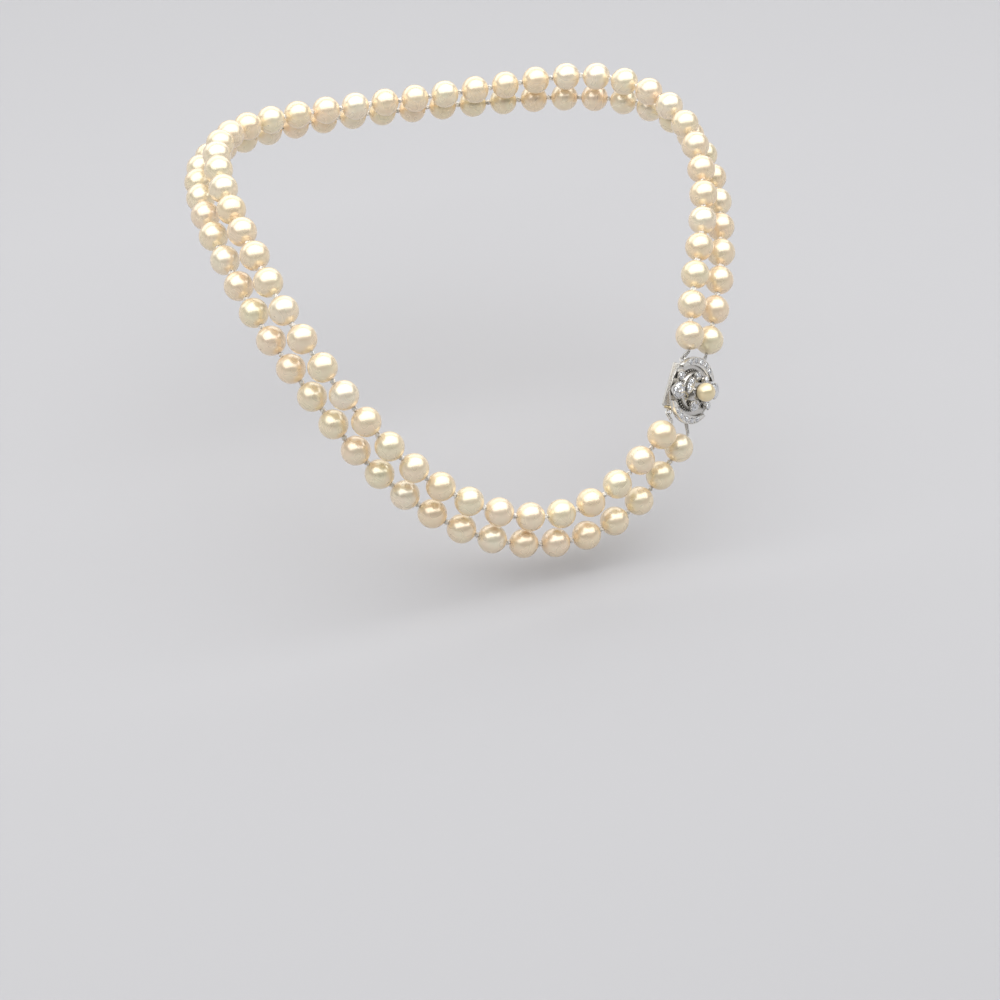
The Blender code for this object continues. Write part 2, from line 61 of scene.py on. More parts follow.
# ======================================================================================
# Clasp box. Raised from white-gold sheet with rounded corners, open underneath, with a
# slot in its lower end for the tongue. Polished, with painted shade darkening its corners and
# side walls.
# ======================================================================================
MM = 0.001
BOX_HALF = (5.4 * MM, 4.5 * MM)
BOX_CORNER = 0.35 * MM
WALL_LOW = -1.75 * MM
BOX_TOP = 1.4 * MM
BOX_SHEET = 0.32 * MM
SLOT_MIDDLE_Z = -0.625 * MM
SLOT_SIZE = (1.6 * MM, 6.6 * MM, 1.75 * MM)

# the clasp's own axes: along the rows to the tongue, across to the outer row, outwards
along = Vector((-0.434, -0.507, -0.745)).normalized()
across = Vector((0.750, 0.254, -0.610))
across = (across - along * across.dot(along)).normalized()
outwards = along.cross(across)
CLASP = Matrix((along, across, outwards)).transposed().to_4x4()
CLASP.translation = Vector((40.28, -96.26, -38.18)) * MM


def only(piece):
    """Selects one piece and makes it the active one."""
    bpy.ops.object.select_all(action="DESELECT")
    piece.select_set(True)
    bpy.context.view_layer.objects.active = piece


def pick(piece, kind, test):
    """Opens the piece for editing with only the parts selected for which test holds."""
    only(piece)
    bpy.ops.object.mode_set(mode="EDIT")
    bpy.ops.mesh.select_mode(type=kind)
    bpy.ops.mesh.select_all(action="DESELECT")
    bpy.ops.object.mode_set(mode="OBJECT")
    mesh = piece.data
    parts = {"VERT": mesh.vertices, "EDGE": mesh.edges, "FACE": mesh.polygons}[kind]
    for part in parts:
        part.select = bool(test(part))
    bpy.ops.object.mode_set(mode="EDIT")


def close_edit():
    bpy.ops.object.mode_set(mode="OBJECT")


def shape_with(piece, kind, **settings):
    """Adds a modifier with these settings and applies it."""
    only(piece)
    change = piece.modifiers.new(kind.lower(), kind)
    for key, value in settings.items():
        setattr(change, key, value)
    bpy.ops.object.modifier_apply(modifier=change.name)


def cut_away(piece, cutter):
    shape_with(piece, "BOOLEAN", object=cutter, operation="DIFFERENCE", solver="EXACT")
    bpy.data.objects.remove(cutter, do_unlink=True)


def join(pieces):
    """Joins the pieces into the first one."""
    bpy.ops.object.select_all(action="DESELECT")
    for piece in pieces:
        piece.select_set(True)
    bpy.context.view_layer.objects.active = pieces[0]
    bpy.ops.object.join()
    return pieces[0]


def copy_of(piece):
    """A copy with its own mesh."""
    twin = piece.copy()
    twin.data = piece.data.copy()
    bpy.context.scene.collection.objects.link(twin)
    return twin


def keep_place():
    """Writes the active piece's place, turn and scale into its mesh."""
    bpy.ops.object.transform_apply(location=True, rotation=True, scale=True)


def set_down(piece, place):
    """Puts a piece made about the middle into its place, and the place into its mesh."""
    piece.matrix_world = place
    only(piece)
    keep_place()


def block(size, middle):
    """A block of this size about its middle."""
    bpy.ops.mesh.primitive_cube_add(size=1.0, location=middle)
    made = bpy.context.object
    made.scale = size
    keep_place()
    return made


def spread(piece, edge, axis):
    """How far apart the two ends of an edge are along an axis."""
    first, second = (piece.data.vertices[i].co[axis] for i in edge.vertices)
    return abs(first - second)


def round_edges(piece, width, segments=2):
    shape_with(
        piece, "BEVEL", width=width, segments=segments, limit_method="ANGLE",
        angle_limit=math.radians(35),
    )
    only(piece)
    bpy.ops.object.shade_smooth_by_angle(angle=math.radians(38))


def fit_piece(piece, name, look, body, slot, *nodes):
    """Names the piece, gives it its finish and fixes it to its body."""
    piece.name = name
    piece.data.name = name
    piece.data.materials.clear()
    piece.data.materials.append(look)
    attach(piece, body)
    if nodes:
        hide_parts(*nodes)


def node_material(name):
    made = bpy.data.materials.new(name)
    made.use_nodes = True
    tree = made.node_tree
    return made, tree, tree.nodes["Principled BSDF"]


def metal(name, bright, painted_shade, roughness, hollow=0.7 * MM):
    """A polished precious metal: soft wear and hairlines, and painted shade that darkens it in
    its hollows and corners.
    """
    made, tree, shader = node_material(name)
    place = tree.nodes.new("ShaderNodeTexCoord")
    wear = tree.nodes.new("ShaderNodeTexNoise")
    wear.inputs["Scale"].default_value = 900.0
    wear.inputs["Detail"].default_value = 4.0
    hairlines = tree.nodes.new("ShaderNodeTexNoise")
    hairlines.inputs["Scale"].default_value = 5200.0
    hairlines.inputs["Detail"].default_value = 2.0
    tree.links.new(place.outputs["Object"], wear.inputs["Vector"])
    tree.links.new(place.outputs["Object"], hairlines.inputs["Vector"])
    # painted shade: ambient occlusion blends the metal towards the dark colour in hollows,
    # corners and gaps between parts, where shade would fall
    shade_occlusion = tree.nodes.new("ShaderNodeAmbientOcclusion")
    shade_occlusion.inputs["Distance"].default_value = hollow
    shade_occlusion.samples = 6
    reach = tree.nodes.new("ShaderNodeValToRGB")
    reach.color_ramp.elements[0].position = 0.22
    reach.color_ramp.elements[1].position = 0.72
    tree.links.new(shade_occlusion.outputs["AO"], reach.inputs["Fac"])
    body = tree.nodes.new("ShaderNodeMix")
    body.data_type = "RGBA"
    body.inputs[6].default_value = (*painted_shade, 1.0)
    body.inputs[7].default_value = (*bright, 1.0)
    tree.links.new(reach.outputs["Color"], body.inputs[0])
    cloud = tree.nodes.new("ShaderNodeMix")
    cloud.data_type = "RGBA"
    cloud.blend_type = "MULTIPLY"
    cloud.inputs[0].default_value = 0.25
    tree.links.new(body.outputs[2], cloud.inputs[6])
    tree.links.new(wear.outputs["Fac"], cloud.inputs[7])
    tree.links.new(cloud.outputs[2], shader.inputs["Base Color"])
    rough = tree.nodes.new("ShaderNodeMapRange")
    rough.inputs["To Min"].default_value = roughness * 0.6
    rough.inputs["To Max"].default_value = roughness * 1.5
    tree.links.new(wear.outputs["Fac"], rough.inputs["Value"])
    tree.links.new(rough.outputs["Result"], shader.inputs["Roughness"])
    bump = tree.nodes.new("ShaderNodeBump")
    bump.inputs["Strength"].default_value = 0.12
    bump.inputs["Distance"].default_value = 0.02 * MM
    tree.links.new(hairlines.outputs["Fac"], bump.inputs["Height"])
    tree.links.new(bump.outputs["Normal"], shader.inputs["Normal"])
    shader.inputs["Metallic"].default_value = 1.0
    return made


WHITE_GOLD = metal("polished_white_gold", (0.95, 0.93, 0.89), (0.20, 0.18, 0.16), 0.14)
# painted shade reaching 2 mm, so the box's side walls are painted dark as if in shadow
BOX_GOLD = metal("box_white_gold", (0.82, 0.80, 0.76), (0.24, 0.22, 0.20), 0.24, 2.0 * MM)


def box_sheet(low, high):
    """The box's outline with its rounded corners, raised from low to high."""
    size = (2 * BOX_HALF[0], 2 * BOX_HALF[1], high - low)
    sheet = block(size, (0.0, 0.0, (low + high) / 2))
    pick(sheet, "EDGE", lambda edge: spread(sheet, edge, 2) > 0.1 * MM)
    bpy.ops.mesh.bevel(offset=BOX_CORNER, segments=8)
    close_edit()
    return sheet


box = box_sheet(WALL_LOW, BOX_TOP)
pick(box, "FACE", lambda face: face.normal.z < -0.9)
bpy.ops.mesh.delete(type="FACE")
close_edit()
shape_with(box, "SOLIDIFY", thickness=BOX_SHEET, offset=-1.0, use_even_offset=True)
cut_away(box, block(SLOT_SIZE, (BOX_HALF[0], 0.0, SLOT_MIDDLE_Z)))
round_edges(box, 0.09 * MM)
set_down(box, CLASP)
fit_piece(box, "clasp_box_shell", BOX_GOLD, "necklace", "white_gold", "clasp_box")

# ======================================================================================
# Back plate. The flat sheet soldered under the box, its rim rounded so it lies softly on
# the skin. Finely brushed.
# ======================================================================================
BACK_LOW, BACK_HIGH = -2.2 * MM, -1.8 * MM

back = box_sheet(BACK_LOW, BACK_HIGH)
round_edges(back, 0.14 * MM, segments=3)
set_down(back, CLASP)
BRUSHED = metal("brushed_back_gold", (0.78, 0.76, 0.72), (0.25, 0.23, 0.20), 0.34)
fit_piece(back, "clasp_back_sheet", BRUSHED, "necklace", "white_gold", "clasp_back_plate")

# ======================================================================================
# Tongue. A paler gold end plate with four pierced eyes and a notch for the tab, and the
# leaf that slides into the box. One piece, soldered.
# ======================================================================================
END_X = (5.45 * MM, 5.90 * MM)
END_SIZE = (9.2 * MM, 3.05 * MM)
END_MIDDLE_Z = -0.225 * MM
END_CORNER = 0.9 * MM
LEAF_SIZE = (8.0 * MM, 5.2 * MM, 0.35 * MM)
LEAF_MIDDLE = (1.60 * MM, 0.0, -1.225 * MM)
NOTCH_SIZE = (1.9 * MM, 2.2 * MM, 3.0 * MM)
NOTCH_MIDDLE = (6.2 * MM, 0.0, 0.45 * MM)
EYE_R = 0.42 * MM
EYE_X, EYE_Z = 5.7 * MM, 0.30 * MM
EYE_SIDES = (-2.3 * MM, -3.5 * MM, 2.3 * MM, 3.5 * MM)

tongue = block((END_X[1] - END_X[0], *END_SIZE), (sum(END_X) / 2, 0.0, END_MIDDLE_Z))
pick(tongue, "EDGE", lambda edge: spread(tongue, edge, 0) > 0.2 * MM)
bpy.ops.mesh.bevel(offset=END_CORNER, segments=6)
close_edit()
leaf = block(LEAF_SIZE, LEAF_MIDDLE)
shape_with(tongue, "BOOLEAN", object=leaf, operation="UNION", solver="EXACT")
bpy.data.objects.remove(leaf, do_unlink=True)
cut_away(tongue, block(NOTCH_SIZE, NOTCH_MIDDLE))
for side in EYE_SIDES:
    bpy.ops.mesh.primitive_cylinder_add(
        vertices=24, radius=EYE_R, depth=2.0 * MM,
        location=(EYE_X, side, EYE_Z), rotation=(0.0, math.pi / 2, 0.0),
    )
    eye = bpy.context.object
    keep_place()
    cut_away(tongue, eye)
round_edges(tongue, 0.05 * MM)
set_down(tongue, CLASP)
PALE_GOLD = metal("pale_yellow_gold", (0.84, 0.70, 0.44), (0.20, 0.14, 0.07), 0.20)
fit_piece(tongue, "tongue_and_end_plate", PALE_GOLD, "tongue", "pale_gold", "tongue_plate")

# ======================================================================================
# Spring catch. A springy strip folded over the tongue's tip, with a thumb tab that comes
# out through the notch. Its shape in the frame is right and stays.
# ======================================================================================
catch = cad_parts["catch_leaf"]
SPRING_GOLD = metal("spring_gold", (0.82, 0.69, 0.46), (0.22, 0.16, 0.09), 0.24)
catch.data.materials.clear()
catch.data.materials.append(SPRING_GOLD)

# ======================================================================================
# Cluster plate. The round sheet that carries the cluster, its edge rolled with a row of
# tiny grains. Under the settings its metal carries painted shade, nearly black.
# ======================================================================================
PLATE_R = 8.15 * MM
PLATE_LOW, PLATE_HIGH = 1.45 * MM, 1.85 * MM
GRAIN_R = 0.13 * MM
EDGE_GRAINS = 150


def at_angle(reach, turn, height):
    """A point of the cluster, by its reach from the middle and its turn from the tongue."""
    return Vector((reach * math.cos(turn), reach * math.sin(turn), height))


def ring_of(count, reach, height, shift=0.0):
    """Points spaced evenly round the cluster's middle."""
    return [at_angle(reach, 2 * math.pi * (i + shift) / count, height) for i in range(count)]


bpy.ops.mesh.primitive_cylinder_add(
    vertices=120, radius=PLATE_R - GRAIN_R, depth=PLATE_HIGH - PLATE_LOW,
    location=(0.0, 0.0, (PLATE_LOW + PLATE_HIGH) / 2),
)
plate = bpy.context.object
keep_place()
pick(plate, "FACE", lambda face: face.normal.z > 0.9)
bpy.ops.mesh.inset(thickness=0.35 * MM)
bpy.ops.mesh.inset(thickness=0.10 * MM, depth=-0.08 * MM)
close_edit()
round_edges(plate, 0.04 * MM)
bpy.ops.mesh.primitive_ico_sphere_add(subdivisions=1, radius=GRAIN_R)
grain = bpy.context.object
bpy.ops.object.shade_smooth()


def grains_along(points, radius=GRAIN_R):
    """Copies of the grain set along the points, as one piece."""
    row = []
    for point in points:
        bead = copy_of(grain)
        bead.scale = (radius / GRAIN_R,) * 3
        bead.location = point
        row.append(bead)
    whole = join(row)
    keep_place()
    return whole


rolled = ring_of(EDGE_GRAINS, PLATE_R - GRAIN_R, (PLATE_LOW + PLATE_HIGH) / 2)
plate = join([plate, grains_along(rolled)])
set_down(plate, CLASP)
# painted shade: white gold painted nearly black where the settings and the tier crowd the plate
SHADE_PAINTED_GOLD = metal("white_gold_painted_shade", (0.80, 0.78, 0.74), (0.09, 0.08, 0.07), 0.20, 1.0 * MM)
fit_piece(plate, "cluster_plate_grained", SHADE_PAINTED_GOLD, "necklace", "white_gold", "cluster_plate")

# ======================================================================================
# Cluster tier. The smaller domed step in the middle of the plate, pierced between the
# settings it carries, with fine grains on its shoulder and a row of beads at its foot.
# ======================================================================================
TIER_R, TIER_TOP_R = 4.9 * MM, 4.4 * MM
TIER_LOW, TIER_HIGH = 1.90 * MM, 3.00 * MM
PIERCED_AT = (28, 118, -52, 50, -28)
PIERCED_REACH, PIERCED_R = 3.5 * MM, 0.30 * MM
SHOULDER_GRAINS, FOOT_BEADS = 72, 40

bpy.ops.mesh.primitive_cone_add(
    vertices=96, radius1=TIER_R, radius2=TIER_TOP_R, depth=TIER_HIGH - TIER_LOW,
    location=(0.0, 0.0, (TIER_LOW + TIER_HIGH) / 2),
)
tier = bpy.context.object
keep_place()
for degrees in PIERCED_AT:
    bpy.ops.mesh.primitive_cylinder_add(
        vertices=20, radius=PIERCED_R, depth=0.9 * MM,
        location=at_angle(PIERCED_REACH, math.radians(degrees), TIER_HIGH),
    )
    hole = bpy.context.object
    keep_place()
    cut_away(tier, hole)
round_edges(tier, 0.10 * MM)
shoulder = ring_of(SHOULDER_GRAINS, TIER_TOP_R - 0.06 * MM, TIER_HIGH)
foot = ring_of(FOOT_BEADS, TIER_R + 0.10 * MM, TIER_LOW + 0.12 * MM, 0.5)
tier = join([tier, grains_along(shoulder, 0.16 * MM), grains_along(foot, 0.24 * MM)])
set_down(tier, CLASP)
fit_piece(tier, "cluster_tier_pierced", SHADE_PAINTED_GOLD, "necklace", "white_gold", "cluster_tier")

# ======================================================================================
# Stones. Brilliants of clear crystal with flat facets: table, crown, girdle and pavilion.
# Each stone is cut on its own, to its size.
# ======================================================================================
def clear_crystal():
    """Clear crystal whose back facets show through the front as small tilted flats."""
    made, tree, shader = node_material("clear_crystal")
    place = tree.nodes.new("ShaderNodeTexCoord")
    growth = tree.nodes.new("ShaderNodeTexNoise")
    growth.inputs["Scale"].default_value = 700.0
    tint = tree.nodes.new("ShaderNodeValToRGB")
    tint.color_ramp.elements[0].color = (0.90, 0.93, 0.97, 1.0)
    tint.color_ramp.elements[1].color = (1.0, 1.0, 1.0, 1.0)
    tree.links.new(place.outputs["Object"], growth.inputs["Vector"])
    tree.links.new(growth.outputs["Fac"], tint.inputs["Fac"])
    tree.links.new(tint.outputs["Color"], shader.inputs["Base Color"])
    inner = tree.nodes.new("ShaderNodeTexVoronoi")
    inner.inputs["Scale"].default_value = 2600.0
    centred = tree.nodes.new("ShaderNodeVectorMath")
    centred.operation = "SUBTRACT"
    centred.inputs[1].default_value = (0.5, 0.5, 0.5)
    tipped = tree.nodes.new("ShaderNodeVectorMath")
    tipped.operation = "SCALE"
    tipped.inputs["Scale"].default_value = 0.85
    face = tree.nodes.new("ShaderNodeNewGeometry")
    added = tree.nodes.new("ShaderNodeVectorMath")
    added.operation = "ADD"
    facet = tree.nodes.new("ShaderNodeVectorMath")
    facet.operation = "NORMALIZE"
    tree.links.new(place.outputs["Object"], inner.inputs["Vector"])
    tree.links.new(inner.outputs["Color"], centred.inputs[0])
    tree.links.new(centred.outputs[0], tipped.inputs[0])
    tree.links.new(tipped.outputs[0], added.inputs[0])
    tree.links.new(face.outputs["Normal"], added.inputs[1])
    tree.links.new(added.outputs[0], facet.inputs[0])
    tree.links.new(facet.outputs[0], shader.inputs["Normal"])
    shader.inputs["Roughness"].default_value = 0.02
    shader.inputs["IOR"].default_value = 2.2
    shader.inputs["Metallic"].default_value = 0.55
    shader.inputs["Transmission Weight"].default_value = 0.60
    return made


CRYSTAL = clear_crystal()
# rise or drop in radii, then how far the outline narrows: girdle, crown and table above,
# then the two steps of the pavilion below
CROWN = ((0.04, 1.0), (0.17, 0.82), (0.09, 0.71))
PAVILION = ((0.42, 0.52), (0.36, 0.02))


def brilliant(radius, sides=16):
    """A brilliant with its girdle at height 0."""
    bpy.ops.mesh.primitive_circle_add(vertices=sides, radius=radius, fill_type="NGON")
    gem = bpy.context.object
    half_step = math.pi / sides
    pick(gem, "FACE", lambda face: True)
    for rise, narrow in CROWN:
        bpy.ops.mesh.extrude_region_move(
            TRANSFORM_OT_translate={"value": (0.0, 0.0, rise * radius)}
        )
        bpy.ops.transform.resize(value=(narrow, narrow, 1.0), center_override=(0.0, 0.0, 0.0))
        if narrow < 1.0:
            bpy.ops.transform.rotate(
                value=half_step, orient_axis="Z", center_override=(0.0, 0.0, 0.0)
            )
    close_edit()
    pick(gem, "FACE", lambda face: False)
    close_edit()
    rim = [v.index for v in gem.data.vertices if abs(v.co.z) < 1e-9]
    pick(gem, "VERT", lambda vert: vert.index in rim)
    bpy.ops.mesh.edge_face_add()
    for drop, narrow in PAVILION:
        bpy.ops.mesh.extrude_region_move(
            TRANSFORM_OT_translate={"value": (0.0, 0.0, -drop * radius)}
        )
        bpy.ops.transform.resize(value=(narrow, narrow, 1.0), center_override=(0.0, 0.0, 0.0))
        bpy.ops.transform.rotate(
            value=half_step, orient_axis="Z", center_override=(0.0, 0.0, 0.0)
        )
    bpy.ops.mesh.select_all(action="SELECT")
    bpy.ops.mesh.remove_doubles(threshold=1e-6)
    bpy.ops.mesh.normals_make_consistent(inside=False)
    bpy.ops.mesh.quads_convert_to_tris(quad_method="FIXED")
    close_edit()
    return gem


# ======================================================================================
# Crescents. Two raised half-moons round the ends of the plate, a grained line along the
# outer edge, and five small stones each, held by grains raised from the metal.
# ======================================================================================
CRESCENT_OUT, CRESCENT_IN = 8.10 * MM, 6.01 * MM
CRESCENT_LOW, CRESCENT_HIGH = 1.90 * MM, 2.80 * MM
CRESCENT_HALF = math.radians(57.0)
HORN = 0.67 * MM
PAVE_R = 0.62 * MM
PAVE_STEP = math.radians(17.0)
RIM_GRAINS = 47

for name, middle in (("crescent_box_side", math.pi), ("crescent_tongue_side", 0.0)):
    bpy.ops.mesh.primitive_grid_add(x_subdivisions=40, y_subdivisions=2, size=1.0)
    crescent = bpy.context.object
    for vert in crescent.data.vertices:
        part = vert.co.x * 2.0
        share = vert.co.y + 0.5
        hollow = CRESCENT_OUT - HORN - (CRESCENT_OUT - CRESCENT_IN - HORN) * (1 - part * part)
        reach = hollow + (CRESCENT_OUT - hollow) * share
        vert.co = at_angle(reach, middle + part * CRESCENT_HALF, CRESCENT_LOW)
    pick(crescent, "FACE", lambda face: True)
    bpy.ops.mesh.extrude_region_move(
        TRANSFORM_OT_translate={"value": (0.0, 0.0, CRESCENT_HIGH - CRESCENT_LOW)}
    )
    bpy.ops.mesh.select_all(action="SELECT")
    bpy.ops.mesh.normals_make_consistent(inside=False)
    close_edit()
    seats = []
    held = []
    for i in range(-2, 3):
        turn = middle + i * PAVE_STEP
        reach = (CRESCENT_OUT + CRESCENT_IN) / 2 + 0.10 * MM * abs(i)
        bpy.ops.mesh.primitive_cylinder_add(
            vertices=28, radius=PAVE_R + 0.05 * MM, depth=1.0 * MM,
            location=at_angle(reach, turn, CRESCENT_HIGH),
        )
        seat = bpy.context.object
        keep_place()
        seats.append(seat)
        gem = brilliant(PAVE_R)
        set_down(gem, CLASP @ Matrix.Translation(at_angle(reach, turn, CRESCENT_HIGH)))
        node = f"{name}_stone_{i + 3}"
        fit_piece(gem, f"{node}_cut", CRYSTAL, "necklace", "clear_stone", node)
        for shift in (-0.5, 0.5):
            for out in (-0.42, 0.42):
                held.append(at_angle(
                    reach + out * MM, turn + shift * PAVE_STEP, CRESCENT_HIGH + 0.03 * MM
                ))
    cut_away(crescent, join(seats))
    round_edges(crescent, 0.07 * MM)
    rim = []
    for i in range(RIM_GRAINS):
        turn = middle + CRESCENT_HALF * (2 * i / (RIM_GRAINS - 1) - 1) * 0.985
        rim.append(at_angle(CRESCENT_OUT - 0.16 * MM, turn, CRESCENT_HIGH))
    crescent = join([crescent, grains_along(rim), grains_along(held, 0.17 * MM)])
    set_down(crescent, CLASP)
    fit_piece(crescent, f"{name}_grained", WHITE_GOLD, "necklace", "white_gold", name)

# ======================================================================================
# Collets. Tapered rings of white gold with a rounded rim and four or six claws bent over
# the stone's edge, soldered to the plate and the tier and leaning a little outwards.
# ======================================================================================
COLLET_WALL = 0.28 * MM
# name, angle from the tongue to the outer row, reach, floor, stone radius, height, lean,
# squash, claws
SETTINGS = [
    ("large_collet_inner", -76.0, 6.60, 1.85, 1.80, 1.45, 8.0, 1.0, 6),
    ("large_collet_outer", 106.0, 6.60, 1.85, 1.80, 1.75, 8.0, 1.0, 6),
    ("round_collet_inner", -106.5, 6.60, 1.85, 0.85, 1.15, 8.0, 1.0, 4),
    ("round_collet_outer", 73.5, 6.60, 1.85, 0.85, 1.15, 8.0, 1.0, 4),
    ("tongue_side_collet", -5.0, 3.55, 3.00, 1.20, 1.15, 14.0, 1.0, 4),
    ("marquise_collet_inner", -97.0, 3.55, 3.00, 0.85, 1.10, 14.0, 1.9, 2),
    ("marquise_collet_outer", 83.0, 3.55, 3.00, 0.85, 1.10, 14.0, 1.9, 2),
    ("box_side_collet_inner", -152.0, 3.55, 3.00, 0.80, 1.05, 14.0, 1.0, 4),
    ("box_side_collet_outer", 152.0, 3.55, 3.00, 0.80, 1.05, 14.0, 1.0, 4),
]

for name, degrees, reach, floor, stone_r, height, lean, squash, claws in SETTINGS:
    stone_r, height = stone_r * MM, height * MM
    top_r = stone_r + COLLET_WALL
    foot_r = 0.72 * top_r
    lift = 0.05 * MM + foot_r * math.sin(math.radians(lean))
    place = (
        CLASP
        @ Matrix.Rotation(math.radians(degrees), 4, "Z")
        @ Matrix.Translation((reach * MM, 0.0, floor * MM + lift))
        @ Matrix.Rotation(math.radians(lean), 4, "Y")
        @ Matrix.Diagonal((1.0, squash, 1.0, 1.0))
    )
    bpy.ops.mesh.primitive_cone_add(
        vertices=48, radius1=foot_r, radius2=top_r, depth=height, location=(0, 0, height / 2)
    )
    collet = bpy.context.object
    keep_place()
    pick(collet, "FACE", lambda face: face.normal.z > 0.9)
    bpy.ops.mesh.inset(thickness=COLLET_WALL - 0.04 * MM)
    bpy.ops.mesh.extrude_region_move(TRANSFORM_OT_translate={"value": (0, 0, -0.8 * height)})
    bpy.ops.transform.resize(value=(0.55, 0.55, 1.0), center_override=(0.0, 0.0, 0.0))
    close_edit()
    round_edges(collet, 0.07 * MM)
    tips = ring_of(claws, stone_r + 0.06 * MM, height + 0.05 * MM, 0.5)
    if squash > 1.0:
        tips = [
            Vector((0.0, way * (stone_r + 0.02 * MM), height + 0.05 * MM)) for way in (-1, 1)
        ]
    collet = join([collet, grains_along(tips, 0.20 * MM)])
    set_down(collet, place)
    fit_piece(collet, f"{name}_clawed", WHITE_GOLD, "necklace", "white_gold", name)
    gem = brilliant(stone_r)
    set_down(gem, place @ Matrix.Translation((0.0, 0.0, height + 0.02 * MM)))
    fit_piece(gem, f"{name}_stone_cut", CRYSTAL, "necklace", "clear_stone", f"{name}_stone")

# ======================================================================================
# Centre cup and centre pearl. A turned cup on a short stem, and a smaller, more golden
# pearl glued into it.
# ======================================================================================
CUP_LOW = 3.05 * MM
SMALL_PEARL_R = 2.3 * MM
SMALL_PEARL_Z = 6.3 * MM
HOLD_R = SMALL_PEARL_R + 0.05 * MM
CUP_FOOT_R = 0.95 * MM


def under_pearl(reach):
    """Height of the cup's hollow at this reach from its middle."""
    return SMALL_PEARL_Z - math.sqrt(HOLD_R**2 - reach**2)


bpy.ops.mesh.primitive_circle_add(
    vertices=48, radius=CUP_FOOT_R, fill_type="NGON", location=(0.0, 0.0, CUP_LOW)
)
cup = bpy.context.object
keep_place()
pick(cup, "FACE", lambda face: True)
section = [
    (0.75 * MM, CUP_LOW + 0.35 * MM), (1.30 * MM, under_pearl(1.25 * MM) - 0.22 * MM),
    (1.78 * MM, under_pearl(1.60 * MM)), (1.60 * MM, under_pearl(1.60 * MM)),
    (1.25 * MM, under_pearl(1.25 * MM)), (0.70 * MM, under_pearl(0.70 * MM)),
    (0.15 * MM, under_pearl(0.15 * MM)),
]
now_r, now_z = CUP_FOOT_R, CUP_LOW
for radius, height in section:
    bpy.ops.mesh.extrude_region_move(TRANSFORM_OT_translate={"value": (0, 0, height - now_z)})
    ratio = radius / now_r
    bpy.ops.transform.resize(value=(ratio, ratio, 1.0), center_override=(0.0, 0.0, 0.0))
    now_r, now_z = radius, height
bpy.ops.mesh.select_all(action="SELECT")
bpy.ops.mesh.normals_make_consistent(inside=False)
close_edit()
only(cup)
bpy.ops.object.shade_smooth_by_angle(angle=math.radians(40))
set_down(cup, CLASP)
fit_piece(cup, "centre_pearl_cup_turned", WHITE_GOLD, "necklace", "white_gold",
          "centre_pearl_cup")


def nacre(name, tones, roughness):
    """Nacre: a tone for each pearl, a painted peach reflection at its rim, and growth lines
    under a gloss.
    """
    made, tree, shader = node_material(name)
    place = tree.nodes.new("ShaderNodeTexCoord")
    own = tree.nodes.new("ShaderNodeAttribute")
    own.attribute_name = "pearl_tone"
    tone = tree.nodes.new("ShaderNodeValToRGB")
    ramp = tone.color_ramp
    ramp.elements[0].color = (*tones[0], 1.0)
    ramp.elements[1].color = (*tones[-1], 1.0)
    for i, colour in enumerate(tones[1:-1]):
        ramp.elements.new((i + 1) / (len(tones) - 1)).color = (*colour, 1.0)
    tree.links.new(own.outputs["Fac"], tone.inputs["Fac"])
    cloud = tree.nodes.new("ShaderNodeTexNoise")
    cloud.inputs["Scale"].default_value = 320.0
    cloud.inputs["Detail"].default_value = 2.0
    tree.links.new(place.outputs["Object"], cloud.inputs["Vector"])
    blush = tree.nodes.new("ShaderNodeValToRGB")
    blush.color_ramp.elements[0].position = 0.35
    blush.color_ramp.elements[0].color = (1.0, 0.965, 0.93, 1.0)
    blush.color_ramp.elements[1].position = 0.65
    blush.color_ramp.elements[1].color = (0.975, 1.0, 0.955, 1.0)
    tree.links.new(cloud.outputs["Fac"], blush.inputs["Fac"])
    colour = tree.nodes.new("ShaderNodeMix")
    colour.data_type = "RGBA"
    colour.blend_type = "MULTIPLY"
    colour.inputs[0].default_value = 1.0
    tree.links.new(tone.outputs["Color"], colour.inputs[6])
    tree.links.new(blush.outputs["Color"], colour.inputs[7])
    # painted reflection: towards the rim as seen, the colour turns peach as if lit by light
    # thrown back from neighbouring pearls
    rim = tree.nodes.new("ShaderNodeLayerWeight")
    rim.inputs["Blend"].default_value = 0.32
    painted_rim_light_share = tree.nodes.new("ShaderNodeMath")
    painted_rim_light_share.operation = "MULTIPLY"
    painted_rim_light_share.inputs[1].default_value = 0.8
    glow = tree.nodes.new("ShaderNodeMix")
    glow.data_type = "RGBA"
    glow.inputs[7].default_value = (1.0, 0.76, 0.47, 1.0)
    tree.links.new(rim.outputs["Facing"], painted_rim_light_share.inputs[0])
    tree.links.new(painted_rim_light_share.outputs[0], glow.inputs[0])
    tree.links.new(colour.outputs[2], glow.inputs[6])
    tree.links.new(glow.outputs[2], shader.inputs["Base Color"])
    growth = tree.nodes.new("ShaderNodeTexNoise")
    growth.inputs["Scale"].default_value = 520.0
    growth.inputs["Detail"].default_value = 0.0
    tree.links.new(place.outputs["Object"], growth.inputs["Vector"])
    rough = tree.nodes.new("ShaderNodeMapRange")
    rough.inputs["To Min"].default_value = roughness * 0.8
    rough.inputs["To Max"].default_value = roughness * 1.2
    tree.links.new(growth.outputs["Fac"], rough.inputs["Value"])
    tree.links.new(rough.outputs["Result"], shader.inputs["Roughness"])
    bump = tree.nodes.new("ShaderNodeBump")
    bump.inputs["Strength"].default_value = 0.04
    bump.inputs["Distance"].default_value = 0.03 * MM
    tree.links.new(growth.outputs["Fac"], bump.inputs["Height"])
    tree.links.new(bump.outputs["Normal"], shader.inputs["Normal"])
    shader.inputs["Metallic"].default_value = 0.42
    shader.inputs["IOR"].default_value = 1.6
    shader.inputs["Coat Weight"].default_value = 0.7
    shader.inputs["Coat Roughness"].default_value = 0.18
    shader.inputs["Coat IOR"].default_value = 1.6
    return made


def give_tone(piece, value):
    """Writes the pearl's own tone on its mesh."""
    layer = piece.data.attributes.new("pearl_tone", "FLOAT", "POINT")
    layer.data.foreach_set("value", [value] * len(piece.data.vertices))


